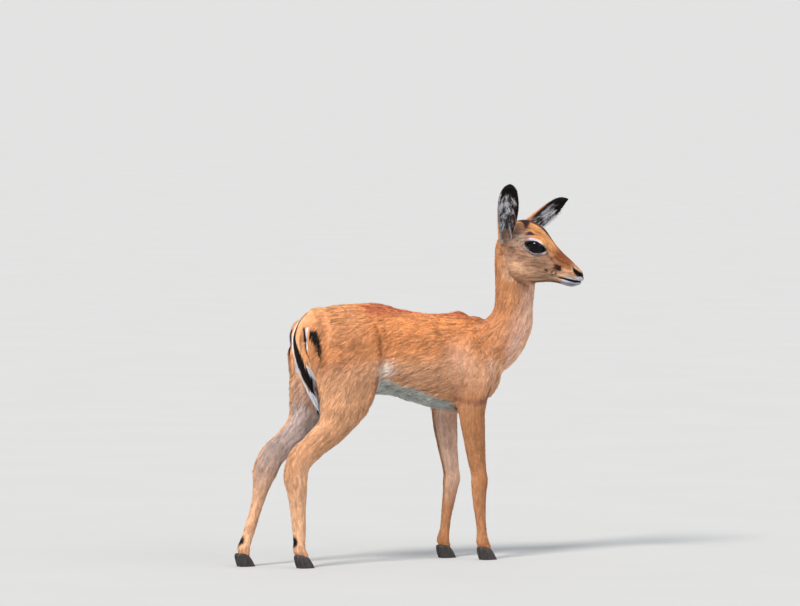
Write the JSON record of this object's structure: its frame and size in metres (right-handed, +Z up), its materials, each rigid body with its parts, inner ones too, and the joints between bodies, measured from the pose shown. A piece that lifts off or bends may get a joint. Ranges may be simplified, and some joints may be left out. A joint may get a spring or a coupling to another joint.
{
  "type": "impala lamb statue",
  "caption": "Life-size young hornless antelope standing on four thin legs with its head turned, long upright ears, hanging tail and cloven hooves",
  "frame": {"origin": "on the ground under the middle of the model's box", "axes": "+X is the way the body faces, +Y is its left side, +Z is up; the head is turned to its right"},
  "size_m": [0.73, 0.2113, 0.7723],
  "materials": {
    "coat_rufous": "short rufous fur",
    "ear_fur": "short fur on a thin ear",
    "tail_hair": "longer loose hair",
    "eye_dark": "wet and glossy",
    "hoof_horn": "worn black horn"
  },
  "bodies": {
    "root": {"head": "coat_rufous", "neck": "coat_rufous", "trunk": "coat_rufous", "leg_fore_right": "coat_rufous", "leg_fore_left": "coat_rufous", "leg_hind_right": "coat_rufous", "leg_hind_left": "coat_rufous", "ear_right": "ear_fur", "ear_left": "ear_fur", "tail": "tail_hair", "eye_right": "eye_dark", "eye_left": "eye_dark", "hoof_fore_right_right_toe": "hoof_horn", "hoof_fore_right_left_toe": "hoof_horn", "hoof_fore_left_right_toe": "hoof_horn", "hoof_fore_left_left_toe": "hoof_horn", "hoof_hind_right_right_toe": "hoof_horn", "hoof_hind_right_left_toe": "hoof_horn", "hoof_hind_left_right_toe": "hoof_horn", "hoof_hind_left_left_toe": "hoof_horn"}
  },
  "joints": []
}
